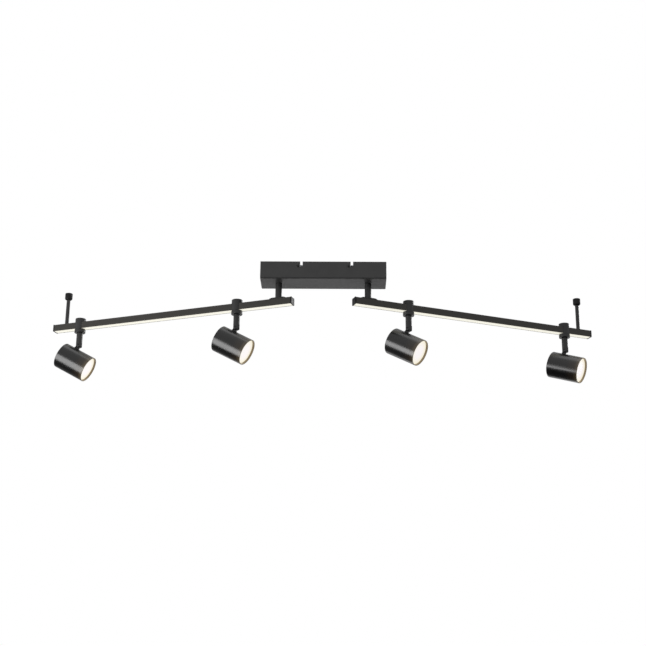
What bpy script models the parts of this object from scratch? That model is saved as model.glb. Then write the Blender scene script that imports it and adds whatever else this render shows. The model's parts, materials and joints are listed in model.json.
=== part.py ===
"""Ceiling track light: two swivelling light bars under one canopy, each carrying two sliding spot heads.

Frame: metres, +Z up. The origin is the middle of the ceiling bracket's top face, so the ceiling is the
plane z = 0 and the fixture hangs below it. +X runs along the canopy, and +Y points to the back.
Each arm has its own frame on its swivel axis, with +X outwards along the bar. Each head has a frame on
its tilt pin, with +X the way the light goes.
"""

import math

import bmesh
import bpy
from mathutils import Euler, Vector

MM = 0.001
GAP = 0.3 * MM  # clearance between pieces that touch on the real fixture

# Canopy: a folded sheet box over the driver, hung on a bracket.
CANOPY_LENGTH = 250 * MM
CANOPY_DEPTH = 60 * MM
CANOPY_HEIGHT = 36 * MM
SHEET = 1.2 * MM
FLOOR_TOP = -CANOPY_HEIGHT + SHEET
WALL_INSIDE = CANOPY_DEPTH / 2 - SHEET
SCREW_X = 50 * MM  # the cover's set screws stand at +X and -X of this
SCREW_Z = -8.7 * MM
SCREW_RADIUS = 1.8 * MM
SCREW_LENGTH = 8 * MM
SCREW_HEAD_RADIUS = 3.2 * MM
SCREW_HEAD_HEIGHT = 1.8 * MM
SLOT_WIDTH = 4.8 * MM
SLOT_ENTRY_OFFSET = 6.5 * MM  # the cover goes up at this offset, then slides until it locks

# Ceiling bracket: a steel strip with four ears that are bent down for the set screws.
BRACKET_LENGTH = 168 * MM
BRACKET_WIDTH = 22 * MM
BRACKET_SHEET = 1.5 * MM
EAR_WIDTH = 7.2 * MM
EAR_DROP = 14 * MM
EAR_OUTSIDE = WALL_INSIDE - GAP
BEND_RADIUS = 2.5 * MM
CEILING_SCREW_X = 72 * MM
CABLE_HOLE_X = 22 * MM
CABLE_HOLE_RADIUS = 6 * MM

# LED driver on the canopy's floor, with the mains terminal block plugged onto its end.
DRIVER_X = -14 * MM
DRIVER_LENGTH = 100 * MM
DRIVER_WIDTH = 42 * MM
DRIVER_HEIGHT = 17.5 * MM
COVERED_LENGTH = 24 * MM  # the raised end over the driver's own terminals
TERMINAL_LENGTH = 20 * MM
TERMINAL_WIDTH = 27 * MM
TERMINAL_HEIGHT = 13 * MM
TERMINAL_WAYS = 3
LEAD_RADIUS = 1.5 * MM

# Arms: a hollow stem through the canopy's floor carries a bar 33.5 mm below it.
PIVOT_X = 89 * MM
STEM_RADIUS = 6.6 * MM
SPIGOT_RADIUS = 4.8 * MM
SPIGOT_TOP = FLOOR_TOP + 8 * MM
STEM_BORE_RADIUS = 2.6 * MM
STEM_FOOT_RADIUS = 3.9 * MM
NUT_WIDTH = 14 * MM
NUT_HEIGHT = 5 * MM
BAR_TOP = -CANOPY_HEIGHT - 33.5 * MM
BAR_WIDTH = 16 * MM
BAR_HEIGHT = 14 * MM
BAR_BOTTOM = BAR_TOP - BAR_HEIGHT
BAR_INNER_END = -31 * MM
BAR_OUTER_END = 511 * MM
BAR_WALL = 1.4 * MM
BAR_CORNER = 0.6 * MM
GROOVE_WIDTH = 7 * MM  # for the conductor rail, along the top
GROOVE_FLOOR = BAR_TOP - 2.2 * MM
CHANNEL_TOP = BAR_BOTTOM + 9.3 * MM  # for the light, along the underside
CHANNEL_WIDTH = BAR_WIDTH - 2 * BAR_WALL
CAP_THICKNESS = 2.4 * MM
CAP_OVERHANG = 0.5 * MM
SADDLE_LENGTH = 34 * MM
SADDLE_TOP = BAR_TOP + 2.5 * MM
SADDLE_RAMP = 4.5 * MM
RAIL_START = 20 * MM
RAIL_END = 476 * MM
RAIL_TOP = BAR_TOP - 0.6 * MM
SUPPORT_X = 483.5 * MM
ROD_RADIUS = 3.9 * MM
ROD_TENON_RADIUS = 3.1 * MM  # the rod's ends, in the bar's groove and in the foot
FOOT_RADIUS = 7.8 * MM
FOOT_HEIGHT = 14 * MM

# Clamps slide on the bars and carry the pan stems.
CLAMP_RADIUS = 11 * MM
CLAMP_TOP = BAR_TOP + 8.7 * MM
CLAMP_BOTTOM = BAR_BOTTOM - 8 * MM
CLAMP_CHAMFER = 0.8 * MM
BASE_RADIUS = 11.4 * MM  # the disc below the bar is a little wider
BASE_TOP = BAR_BOTTOM - 1.5 * MM
NECK_RADIUS = 3 * MM
COLLAR_RADIUS = 4.2 * MM  # the swaged collar that keeps the neck in the clamp
SHOE_LENGTH = 10 * MM
SHOE_WIDTH = 5.2 * MM
SHOE_TOP = BAR_TOP + 3.5 * MM
PAN_RADIUS = 6.4 * MM
PAN_BOTTOM = CLAMP_BOTTOM - 32 * MM
PIN_Z = PAN_BOTTOM + 5 * MM
PIN_RADIUS = 1.5 * MM
PIN_LENGTH = 11.6 * MM
FORK_WIDTH = 4.6 * MM
FORK_TOP = PIN_Z + 5.3 * MM
LUG_THICKNESS = 4 * MM
LUG_RADIUS = 4.5 * MM
LUG_BASE_HALF = 7 * MM

# Spot heads, in the frame of the tilt pin.
HEAD_RADIUS = 27 * MM
HEAD_WALL = 1.6 * MM
HEAD_REAR = -21 * MM
HEAD_FRONT = 47 * MM
HEAD_AXIS_Z = -35.5 * MM
HEAD_INSIDE = HEAD_RADIUS - HEAD_WALL
REAR_WALL = 2.5 * MM
LENS_FRONT = HEAD_FRONT - 3.5 * MM
LENS_THICKNESS = 4 * MM
CUP_FLOOR = 24 * MM  # where the reflector cup's floor carries the board
CUP_FLOOR_RADIUS = 14 * MM

# How the fixture stands at rest. An arm's angle turns its outward direction from +X about +Z.
ARM_ANGLES = {"left": 160.3, "right": 22.1}
SIDES = {"left": -1, "right": 1}
# side, place, distance from the swivel axis, pan from +X about +Z, tilt below the horizontal
HEADS = (
    ("left", "outer", 450 * MM, -4.5, 29.0),
    ("left", "inner", 90 * MM, -13.0, 29.0),
    ("right", "inner", 88.5 * MM, -25.0, 29.0),
    ("right", "outer", 449 * MM, -28.0, 19.0),
)

# colour, roughness, metallic
FINISHES = {
    "black_paint": ((0.030, 0.030, 0.030), 0.42, 0.0),
    "black_anodised": ((0.035, 0.035, 0.034), 0.36, 0.6),
    "black_plastic": ((0.022, 0.022, 0.023), 0.55, 0.0),
    "zinc_steel": ((0.62, 0.63, 0.65), 0.35, 1.0),
    "white_plastic": ((0.80, 0.80, 0.78), 0.45, 0.0),
    "lead_sleeve": ((0.75, 0.75, 0.73), 0.55, 0.0),
    "circuit_board": ((0.85, 0.85, 0.82), 0.5, 0.0),
    "copper": ((0.86, 0.50, 0.32), 0.3, 1.0),
    "aluminium": ((0.80, 0.81, 0.82), 0.35, 1.0),
    "opal_diffuser": ((0.96, 0.94, 0.88), 0.35, 0.0),
}


# ---------------------------------------------------------------- modelling helpers


def material(name):
    found = bpy.data.materials.get(name)
    if found:
        return found
    colour, roughness, metallic = FINISHES[name]
    made = bpy.data.materials.new(name)
    made.use_nodes = True
    shader = made.node_tree.nodes["Principled BSDF"]
    shader.inputs["Base Color"].default_value = (*colour, 1.0)
    shader.inputs["Roughness"].default_value = roughness
    shader.inputs["Metallic"].default_value = metallic
    return made


def frame(name, location, parent=None, rotation=(0, 0, 0)):
    """An empty that carries the pieces of one body."""
    empty = bpy.data.objects.new(name, None)
    bpy.context.collection.objects.link(empty)
    empty.location = location
    empty.rotation_euler = rotation
    empty.parent = parent
    return empty


def add(name, shape, finish, parent=None, location=(0, 0, 0), rotation=(0, 0, 0)):
    """Makes a named object of a bmesh, in its parent's frame."""
    bmesh.ops.recalc_face_normals(shape, faces=shape.faces)
    mesh = bpy.data.meshes.new(name)
    shape.to_mesh(mesh)
    shape.free()
    mesh.shade_smooth()
    mesh.set_sharp_from_angle(angle=math.radians(32))
    if finish:
        mesh.materials.append(material(finish))
    made = bpy.data.objects.new(name, mesh)
    bpy.context.collection.objects.link(made)
    made.location = location
    made.rotation_euler = rotation
    made.parent = parent
    return made


def boolean(target, shape, operation="DIFFERENCE", location=(0, 0, 0), rotation=(0, 0, 0)):
    """Cuts a shape from the target, or joins it on, as a modifier with a hidden helper."""
    name = f"{target.name}_helper_{len(target.modifiers)}"
    helper = add(name, shape, None, target.parent, location, rotation)
    helper.hide_render = True
    helper.display_type = "WIRE"
    modifier = target.modifiers.new(operation.lower(), "BOOLEAN")
    modifier.operation = operation
    modifier.object = helper


def box(low, high, bevel=0.0, segments=2):
    """A box from its lowest to its highest corner, with its edges rounded by bevel."""
    low, high = Vector(low), Vector(high)
    shape = bmesh.new()
    bmesh.ops.create_cube(shape, size=1)
    bmesh.ops.scale(shape, vec=high - low, verts=shape.verts)
    bmesh.ops.translate(shape, vec=(low + high) / 2, verts=shape.verts)
    if bevel:
        bmesh.ops.bevel(
            shape, geom=shape.edges[:], offset=bevel, segments=segments, profile=0.5, affect="EDGES"
        )
    return shape


def extruded(outline, start, end, plane="XY"):
    """A closed outline in one plane, extruded along the plane's normal from start to end."""
    place = {
        "XY": lambda a, b, h: (a, b, h),
        "XZ": lambda a, b, h: (a, h, b),
        "YZ": lambda a, b, h: (h, a, b),
    }[plane]
    shape = bmesh.new()
    corners = [shape.verts.new(place(a, b, start)) for a, b in outline]
    face = shape.faces.new(corners)
    moved = bmesh.ops.extrude_face_region(shape, geom=[face])["geom"]
    step = Vector(place(0, 0, end - start))
    bmesh.ops.translate(shape, vec=step, verts=[v for v in moved if isinstance(v, bmesh.types.BMVert)])
    return shape


def turned(profile, segments=32, axis="Z"):
    """A profile of (radius, height) points turned about an axis. It is a tube if no radius is 0."""
    shape = bmesh.new()
    points = [shape.verts.new((radius, 0, height)) for radius, height in profile]
    hollow = all(radius > 0 for radius, height in profile)
    pairs = list(zip(points, points[1:] + points[:1] if hollow else points[1:]))
    edges = [shape.edges.new(pair) for pair in pairs]
    bmesh.ops.spin(
        shape,
        geom=points + edges,
        axis=(0, 0, 1),
        cent=(0, 0, 0),
        angle=math.tau,
        steps=segments,
        use_merge=True,
    )
    bmesh.ops.remove_doubles(shape, verts=shape.verts, dist=1e-6)
    turn = {"Z": (0, 0, 0), "X": (0, math.pi / 2, 0), "Y": (-math.pi / 2, 0, 0)}[axis]
    if any(turn):
        bmesh.ops.rotate(shape, verts=shape.verts, matrix=Euler(turn).to_matrix())
    return shape


def cylinder(radius, start, end, segments=20, axis="Z"):
    return turned([(0, start), (radius, start), (radius, end), (0, end)], segments, axis)


def arc(centre, radius, start, end, steps):
    """Points round a centre from one angle to another, in degrees."""
    angles = (math.radians(start + (end - start) * i / steps) for i in range(steps + 1))
    return [(centre[0] + radius * math.cos(a), centre[1] + radius * math.sin(a)) for a in angles]


def rounded_slot(centre, length, width, steps=4):
    """The outline of a long hole that runs along the first axis."""
    reach = (length - width) / 2
    x, y = centre
    right = arc((x + reach, y), width / 2, -90, 90, steps)
    left = arc((x - reach, y), width / 2, 90, 270, steps)
    return right + left


# ---------------------------------------------------------------- canopy


def make_bracket():
    """The strip that is screwed to the ceiling, with an ear for each set screw."""
    low = (-BRACKET_LENGTH / 2, -BRACKET_WIDTH / 2, -BRACKET_SHEET)
    high = (BRACKET_LENGTH / 2, BRACKET_WIDTH / 2, 0)
    bracket = add("ceiling_bracket", box(low, high), "zinc_steel")
    root = BRACKET_WIDTH / 2 - 2 * MM
    for x in (-SCREW_X, SCREW_X):
        for side in (-1, 1):
            bend = (EAR_OUTSIDE - BEND_RADIUS, -BEND_RADIUS)
            outside = [(root, 0)] + arc(bend, BEND_RADIUS, 90, 0, 4) + [(EAR_OUTSIDE, -EAR_DROP)]
            inside = [(EAR_OUTSIDE - BRACKET_SHEET, -EAR_DROP)]
            inside += arc(bend, BEND_RADIUS - BRACKET_SHEET, 0, 90, 4) + [(root, -BRACKET_SHEET)]
            outline = [(side * y, z) for y, z in outside + inside]
            ear = extruded(outline, x - EAR_WIDTH / 2, x + EAR_WIDTH / 2, "YZ")
            boolean(bracket, ear, "UNION")
        thread = cylinder(SCREW_RADIUS + GAP, -CANOPY_DEPTH / 2, CANOPY_DEPTH / 2, 12, "Y")
        boolean(bracket, thread, location=(x, 0, SCREW_Z))
    for x in (-CEILING_SCREW_X, CEILING_SCREW_X):
        slot = extruded(rounded_slot((x, 0), 12 * MM, 5 * MM), -2 * BRACKET_SHEET, BRACKET_SHEET)
        boolean(bracket, slot)
    boolean(
        bracket,
        cylinder(CABLE_HOLE_RADIUS, -2 * BRACKET_SHEET, BRACKET_SHEET),
        location=(CABLE_HOLE_X, 0, 0),
    )


def make_cover():
    """The open-topped box, with a bayonet slot over each set screw and a hole for each stem."""
    half_length = CANOPY_LENGTH / 2
    half_depth = CANOPY_DEPTH / 2
    low = (-half_length, -half_depth, -CANOPY_HEIGHT)
    cover = add("canopy_cover", box(low, (half_length, half_depth, 2 * MM), 1.0 * MM), "black_paint")
    above = (half_length + SHEET, half_depth + SHEET, 4 * MM)
    boolean(cover, box((-above[0], -above[1], 0), above))
    inside = box((-half_length + SHEET, -WALL_INSIDE, FLOOR_TOP), (half_length - SHEET, WALL_INSIDE, 6 * MM))
    boolean(cover, inside)
    for x in (-SCREW_X, SCREW_X):
        boolean(cover, bayonet_slot(x))
    for side in SIDES.values():
        hole = cylinder(SPIGOT_RADIUS + GAP, -CANOPY_HEIGHT - SHEET, FLOOR_TOP + SHEET)
        boolean(cover, hole, location=(side * PIVOT_X, 0, 0))


def bayonet_slot(x):
    """A slot that drops from the top edge and turns towards -X, cut through both long walls."""
    half = SLOT_WIDTH / 2
    entry = x + SLOT_ENTRY_OFFSET
    above = 1 * MM
    outline = [(entry - half, above), (entry - half, SCREW_Z + half)]
    outline += arc((x, SCREW_Z), half, 90, 270, 8)
    outline += arc((entry, SCREW_Z), half, 270, 360, 4)
    outline += [(entry + half, above)]
    reach = CANOPY_DEPTH / 2 + SHEET
    return extruded(outline, -reach, reach, "XZ")


def make_cover_screws():
    """Slotted set screws. They pass the cover's slots and enter the bracket's ears."""
    head_start = CANOPY_DEPTH / 2 + GAP
    head_end = head_start + SCREW_HEAD_HEIGHT
    tip = head_start - SCREW_LENGTH
    profile = [(0, head_end), (SCREW_HEAD_RADIUS - 0.5 * MM, head_end)]
    profile += [(SCREW_HEAD_RADIUS, head_end - 0.5 * MM), (SCREW_HEAD_RADIUS, head_start)]
    profile += [(SCREW_RADIUS, head_start), (SCREW_RADIUS, tip), (0, tip)]
    drive_low = (-SCREW_HEAD_RADIUS, -0.4 * MM, head_end - 0.8 * MM)
    drive_high = (SCREW_HEAD_RADIUS, 0.4 * MM, head_end + 1 * MM)
    for face, towards in (("front", 1), ("rear", -1)):
        for side, sign in SIDES.items():
            place = (sign * SCREW_X, 0, SCREW_Z)
            turn = (towards * math.pi / 2, 0, 0)
            screw = add(f"cover_screw_{face}_{side}", turned(profile, 12), "black_paint", None, place, turn)
            boolean(screw, box(drive_low, drive_high), location=place, rotation=turn)


def make_driver():
    """The driver's case, lower in the middle than over its terminals, and its mains block."""
    floor = FLOOR_TOP + GAP
    step = 2.5 * MM
    end = DRIVER_LENGTH / 2
    low, high = floor, floor + DRIVER_HEIGHT
    outline = [(-end, low), (end, low), (end, high), (end - COVERED_LENGTH, high)]
    outline += [(end - COVERED_LENGTH - step, high - step), (-end + COVERED_LENGTH + step, high - step)]
    outline += [(-end + COVERED_LENGTH, high), (-end, high)]
    outline = [(DRIVER_X + x, z) for x, z in outline]
    case = extruded(outline, -DRIVER_WIDTH / 2, DRIVER_WIDTH / 2, "XZ")
    add("led_driver", case, "white_plastic")

    start = DRIVER_X + DRIVER_LENGTH / 2 + GAP
    low = (start, -DRIVER_WIDTH / 2, floor)
    high = (start + TERMINAL_LENGTH, -DRIVER_WIDTH / 2 + TERMINAL_WIDTH, floor + TERMINAL_HEIGHT)
    block = add("terminal_block", box(low, high, 0.8 * MM, 1), "white_plastic")
    pitch = TERMINAL_WIDTH / TERMINAL_WAYS
    for way in range(TERMINAL_WAYS):
        y = low[1] + (way + 0.5) * pitch
        wire_hole = cylinder(1.8 * MM, -8 * MM, 1 * MM, 12, "X")
        boolean(block, wire_hole, location=(high[0], y, floor + TERMINAL_HEIGHT / 2))
        screw_hole = cylinder(2.2 * MM, -3 * MM, 1 * MM, 12)
        boolean(block, screw_hole, location=(start + 6 * MM, y, high[2]))


def make_driver_lead(side):
    """The lead from one end of the driver, in an easy curve over and down into the stem."""
    sign = SIDES[side]
    driver_end = DRIVER_X + sign * DRIVER_LENGTH / 2
    start = Vector((driver_end + sign * (GAP + 0.2 * MM), 13 * MM, FLOOR_TOP + 9 * MM))
    finish = Vector((sign * PIVOT_X, 0, FLOOR_TOP + 1 * MM))
    reach = (finish.x - start.x) * 0.55
    over = 26 * MM
    away = start + Vector((reach, 0, 0))
    above = finish + Vector((0, 0, over))
    curve = bpy.data.curves.new(f"driver_lead_{side}", "CURVE")
    curve.dimensions = "3D"
    curve.bevel_depth = LEAD_RADIUS
    curve.bevel_resolution = 2
    curve.use_fill_caps = True
    steps = 14
    spline = curve.splines.new("POLY")
    spline.points.add(steps)
    for i in range(steps + 1):
        t = i / steps
        place = start * (1 - t) ** 3 + away * 3 * t * (1 - t) ** 2
        place += above * 3 * t**2 * (1 - t) + finish * t**3
        spline.points[i].co = (*place, 1)
    curve.materials.append(material("lead_sleeve"))
    lead = bpy.data.objects.new(curve.name, curve)
    bpy.context.collection.objects.link(lead)


# ---------------------------------------------------------------- arms


def make_arm(side):
    """One swivelling arm. Returns its frame, which stands on the swivel axis."""
    angle = math.radians(ARM_ANGLES[side])
    arm = frame(f"arm_axis_{side}", (SIDES[side] * PIVOT_X, 0, 0), rotation=(0, 0, angle))
    make_stem(side, arm)
    make_bar(side, arm)
    make_light_strip(side, arm)
    make_end_caps(side, arm)
    make_support(side, arm)
    return arm


def make_stem(side, arm):
    shoulder = -CANOPY_HEIGHT - GAP
    edge = 0.5 * MM
    profile = [(STEM_BORE_RADIUS, SPIGOT_TOP), (SPIGOT_RADIUS - edge, SPIGOT_TOP)]
    profile += [(SPIGOT_RADIUS, SPIGOT_TOP - edge), (SPIGOT_RADIUS, shoulder), (STEM_RADIUS - edge, shoulder)]
    profile += [(STEM_RADIUS, shoulder - edge), (STEM_RADIUS, SADDLE_TOP + GAP)]
    profile += [(STEM_FOOT_RADIUS, SADDLE_TOP + GAP), (STEM_FOOT_RADIUS, BAR_TOP + GAP)]
    profile += [(STEM_BORE_RADIUS, BAR_TOP + GAP)]
    add(f"stem_{side}", turned(profile, 20), "black_paint", arm)

    low = FLOOR_TOP + GAP
    corners = arc((0, 0), NUT_WIDTH / 2 / math.cos(math.radians(30)), 0, 300, 5)
    nut = extruded(corners, low, low + NUT_HEIGHT)
    nut = add(f"stem_nut_{side}", nut, "zinc_steel", arm)
    boolean(nut, cylinder(SPIGOT_RADIUS + GAP, low - 1 * MM, low + NUT_HEIGHT + 1 * MM))

    half = SADDLE_LENGTH / 2
    foot = BAR_TOP + GAP
    outline = [(-half, foot), (half, foot), (half, foot + 0.5 * MM), (half - SADDLE_RAMP, SADDLE_TOP)]
    outline += [(-half + SADDLE_RAMP, SADDLE_TOP), (-half, foot + 0.5 * MM)]
    plate = extruded(outline, -BAR_WIDTH / 2 + 0.5 * MM, BAR_WIDTH / 2 - 0.5 * MM, "XZ")
    saddle = add(f"saddle_{side}", plate, "black_paint", arm)
    boolean(saddle, cylinder(STEM_FOOT_RADIUS + GAP, BAR_TOP - 1 * MM, SADDLE_TOP + 1 * MM))


def make_bar(side, arm):
    """The aluminium profile: a groove for the conductors above, a channel for the light below."""
    half = BAR_WIDTH / 2
    corner = BAR_CORNER
    groove = GROOVE_WIDTH / 2
    channel = CHANNEL_WIDTH / 2
    outline = [(groove, BAR_TOP)] + arc((half - corner, BAR_TOP - corner), corner, 90, 0, 3)
    outline += arc((half - corner, BAR_BOTTOM + corner), corner, 0, -90, 3)
    outline += [(channel, BAR_BOTTOM), (channel, CHANNEL_TOP)]
    mirrored = [(-y, z) for y, z in reversed(outline)]
    outline = [(groove, GROOVE_FLOOR)] + outline + mirrored + [(-groove, GROOVE_FLOOR)]
    start = BAR_INNER_END + CAP_THICKNESS + GAP
    end = BAR_OUTER_END - CAP_THICKNESS - GAP
    bar = add(f"light_bar_{side}", extruded(outline, start, end, "YZ"), "black_anodised", arm)
    boolean(bar, cylinder(STEM_BORE_RADIUS, CHANNEL_TOP - 1 * MM, BAR_TOP + 1 * MM, 16))

    ridge = GROOVE_WIDTH / 2 - GAP
    floor = GROOVE_FLOOR + GAP
    low = floor + 0.6 * MM
    outline = [(-ridge, floor), (ridge, floor), (ridge, RAIL_TOP), (1 * MM, RAIL_TOP)]
    outline += [(1 * MM, low), (-1 * MM, low), (-1 * MM, RAIL_TOP), (-ridge, RAIL_TOP)]
    add(f"conductor_rail_{side}", extruded(outline, RAIL_START, RAIL_END, "YZ"), "copper", arm)


def make_light_strip(side, arm):
    """The opal strip that closes the channel, and the board that lights it."""
    start = BAR_INNER_END + CAP_THICKNESS + 2 * GAP
    end = BAR_OUTER_END - CAP_THICKNESS - 2 * GAP
    half = CHANNEL_WIDTH / 2 - GAP
    strip = box((start, -half, BAR_BOTTOM), (end, half, BAR_BOTTOM + 2 * MM))
    add(f"bar_diffuser_{side}", strip, "opal_diffuser", arm)
    board_top = CHANNEL_TOP - GAP
    board = box((start + 8 * MM, -5 * MM, board_top - 1.2 * MM), (end - 8 * MM, 5 * MM, board_top))
    add(f"led_strip_{side}", board, "circuit_board", arm)


def make_end_caps(side, arm):
    half = BAR_WIDTH / 2 + CAP_OVERHANG
    for place, start in (("inner", BAR_INNER_END), ("outer", BAR_OUTER_END - CAP_THICKNESS)):
        low = (start, -half, BAR_BOTTOM - CAP_OVERHANG)
        high = (start + CAP_THICKNESS, half, BAR_TOP + CAP_OVERHANG)
        add(f"bar_cap_{side}_{place}", box(low, high, 0.9 * MM), "black_plastic", arm)


def make_support(side, arm):
    """The rod that keeps the bar's outer end down from the ceiling, and its screw-on foot."""
    rod_low = GROOVE_FLOOR + GAP
    rod_high = -FOOT_HEIGHT + 8 * MM
    profile = [(0, rod_high), (ROD_TENON_RADIUS, rod_high), (ROD_TENON_RADIUS, -FOOT_HEIGHT - GAP)]
    profile += [(ROD_RADIUS, -FOOT_HEIGHT - GAP), (ROD_RADIUS, BAR_TOP + GAP)]
    profile += [(ROD_TENON_RADIUS, BAR_TOP + GAP), (ROD_TENON_RADIUS, rod_low), (0, rod_low)]
    add(f"support_rod_{side}", turned(profile, 12), "black_paint", arm, (SUPPORT_X, 0, 0))
    hole = ROD_TENON_RADIUS + GAP
    chamfer = 2 * MM
    edge = 0.8 * MM
    profile = [(0, 0), (FOOT_RADIUS - edge, 0), (FOOT_RADIUS, -edge), (FOOT_RADIUS, -FOOT_HEIGHT + chamfer)]
    profile += [(FOOT_RADIUS - chamfer, -FOOT_HEIGHT), (hole, -FOOT_HEIGHT), (hole, rod_high + GAP)]
    profile += [(0, rod_high + GAP)]
    add(f"support_foot_{side}", turned(profile, 20), "black_plastic", arm, (SUPPORT_X, 0, 0))


# ---------------------------------------------------------------- heads


def make_head(side, place, distance, pan, tilt, arm):
    """One clamp with its pan stem and its spot head, each in the frame that it moves with."""
    name = f"{side}_{place}"
    clamp = frame(f"clamp_axis_{name}", (distance, 0, 0), arm)
    pan_angle = math.radians(pan - ARM_ANGLES[side])
    pan_frame = frame(f"pan_axis_{name}", (0, 0, 0), clamp, (0, 0, pan_angle))
    tilt_frame = frame(f"tilt_axis_{name}", (0, 0, PIN_Z), pan_frame, (0, math.radians(tilt), 0))
    make_clamp(name, clamp)
    make_pan_stem(name, pan_frame)
    make_housing(name, tilt_frame)
    make_light(name, tilt_frame)


def make_clamp(name, clamp):
    """A cylinder with a channel for the bar, a socket for the pan stem and a pocket for the shoe."""
    edge = CLAMP_RADIUS - CLAMP_CHAMFER
    collar = COLLAR_RADIUS + GAP
    collar_low = CLAMP_BOTTOM + 3 * MM
    collar_high = CLAMP_BOTTOM + 5.5 * MM
    profile = [(0, CLAMP_TOP), (edge, CLAMP_TOP), (CLAMP_RADIUS, CLAMP_TOP - CLAMP_CHAMFER)]
    profile += [(CLAMP_RADIUS, BASE_TOP), (BASE_RADIUS, BASE_TOP - (BASE_RADIUS - CLAMP_RADIUS))]
    profile += [(BASE_RADIUS, CLAMP_BOTTOM + CLAMP_CHAMFER), (BASE_RADIUS - CLAMP_CHAMFER, CLAMP_BOTTOM)]
    profile += [(NECK_RADIUS + GAP, CLAMP_BOTTOM), (NECK_RADIUS + GAP, collar_low)]
    profile += [(collar, collar_low), (collar, collar_high), (0, collar_high)]
    body = add(f"clamp_{name}", turned(profile, 24), "black_paint", clamp)
    reach = 2 * CLAMP_RADIUS
    half = BAR_WIDTH / 2 + GAP
    boolean(body, box((-reach, -half, BAR_BOTTOM - GAP), (reach, half, BAR_TOP + GAP)))

    half_length = SHOE_LENGTH / 2
    half_width = SHOE_WIDTH / 2
    pocket = (half_length + GAP, half_width + GAP, SHOE_TOP + GAP)
    boolean(body, box((-pocket[0], -pocket[1], BAR_TOP - 1 * MM), pocket))
    shoe_low = (-half_length, -half_width, RAIL_TOP + GAP)
    shoe = box(shoe_low, (half_length, half_width, SHOE_TOP), 0.5 * MM, 1)
    add(f"contact_shoe_{name}", shoe, "copper", clamp)


def make_pan_stem(name, pan_frame):
    """The stem that turns in the clamp by its collared neck, and holds the head's lug in its fork."""
    edge = 0.6 * MM
    top = CLAMP_BOTTOM - GAP
    collar_low = CLAMP_BOTTOM + 3 * MM + GAP
    collar_high = CLAMP_BOTTOM + 5.5 * MM - GAP
    profile = [(0, collar_high), (COLLAR_RADIUS, collar_high), (COLLAR_RADIUS, collar_low)]
    profile += [(NECK_RADIUS, collar_low), (NECK_RADIUS, top), (PAN_RADIUS - edge, top)]
    profile += [(PAN_RADIUS, top - edge)]
    round_end = 1.5 * MM
    profile += arc((PAN_RADIUS - round_end, PAN_BOTTOM + round_end), round_end, 0, -90, 3)
    profile += [(0, PAN_BOTTOM)]
    stem = add(f"pan_stem_{name}", turned(profile, 16), "black_paint", pan_frame)
    reach = PAN_RADIUS + 1 * MM
    half = FORK_WIDTH / 2
    boolean(stem, box((-reach, -half, PAN_BOTTOM - 1 * MM), (reach, half, FORK_TOP)))
    hole = cylinder(PIN_RADIUS + GAP, -reach, reach, 12, "Y")
    boolean(stem, hole, location=(0, 0, PIN_Z))
    pin = cylinder(PIN_RADIUS, -PIN_LENGTH / 2, PIN_LENGTH / 2, 12, "Y")
    add(f"tilt_pin_{name}", pin, "black_paint", pan_frame, (0, 0, PIN_Z))


def make_housing(name, tilt_frame):
    """The turned can, open in front, with the lug that the tilt pin passes."""
    edge = 1 * MM
    rim = 0.3 * MM
    floor = HEAD_REAR + REAR_WALL
    profile = [(0, HEAD_REAR), (HEAD_RADIUS - edge, HEAD_REAR), (HEAD_RADIUS, HEAD_REAR + edge)]
    profile += [(HEAD_RADIUS, HEAD_FRONT - rim), (HEAD_RADIUS - rim, HEAD_FRONT)]
    profile += [(HEAD_INSIDE, HEAD_FRONT), (HEAD_INSIDE, floor), (0, floor)]
    centre = (0, 0, HEAD_AXIS_Z)
    housing = add(f"head_housing_{name}", turned(profile, 32, "X"), "black_paint", tilt_frame, centre)
    root = HEAD_AXIS_Z + HEAD_RADIUS - 0.9 * MM
    waist = root + 3 * MM
    outline = [(LUG_BASE_HALF, root), (LUG_RADIUS, waist)] + arc((0, 0), LUG_RADIUS, 0, 180, 6)
    outline += [(-LUG_RADIUS, waist), (-LUG_BASE_HALF, root)]
    lug = extruded(outline, -LUG_THICKNESS / 2, LUG_THICKNESS / 2, "XZ")
    boolean(housing, lug, "UNION")
    boolean(housing, cylinder(PIN_RADIUS + GAP, -LUG_THICKNESS, LUG_THICKNESS, 12, "Y"))


def make_light(name, tilt_frame):
    """The heat sink with its reflector cup, and the opal disc in front of it."""
    centre = (0, 0, HEAD_AXIS_Z)
    radius = HEAD_INSIDE - GAP
    lens_rear = LENS_FRONT - LENS_THICKNESS
    front = lens_rear - GAP
    profile = [(0, HEAD_REAR + REAR_WALL + GAP), (radius, HEAD_REAR + REAR_WALL + GAP), (radius, front)]
    profile += [(radius - 1.5 * MM, front), (CUP_FLOOR_RADIUS, CUP_FLOOR), (0, CUP_FLOOR)]
    add(f"led_module_{name}", turned(profile, 20, "X"), "aluminium", tilt_frame, centre)
    edge = 0.5 * MM
    profile = [(0, lens_rear), (radius, lens_rear), (radius, LENS_FRONT - edge)]
    profile += [(radius - edge, LENS_FRONT), (0, LENS_FRONT)]
    add(f"head_diffuser_{name}", turned(profile, 32, "X"), "opal_diffuser", tilt_frame, centre)


def main():
    for leftover in list(bpy.data.objects):
        bpy.data.objects.remove(leftover)
    make_bracket()
    make_cover()
    make_cover_screws()
    make_driver()
    arms = {}
    for side in SIDES:
        make_driver_lead(side)
        arms[side] = make_arm(side)
    for side, place, distance, pan, tilt in HEADS:
        make_head(side, place, distance, pan, tilt, arms[side])


main()
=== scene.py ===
import json
import math

import bmesh
import bpy
from mathutils import Matrix, Vector


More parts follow.
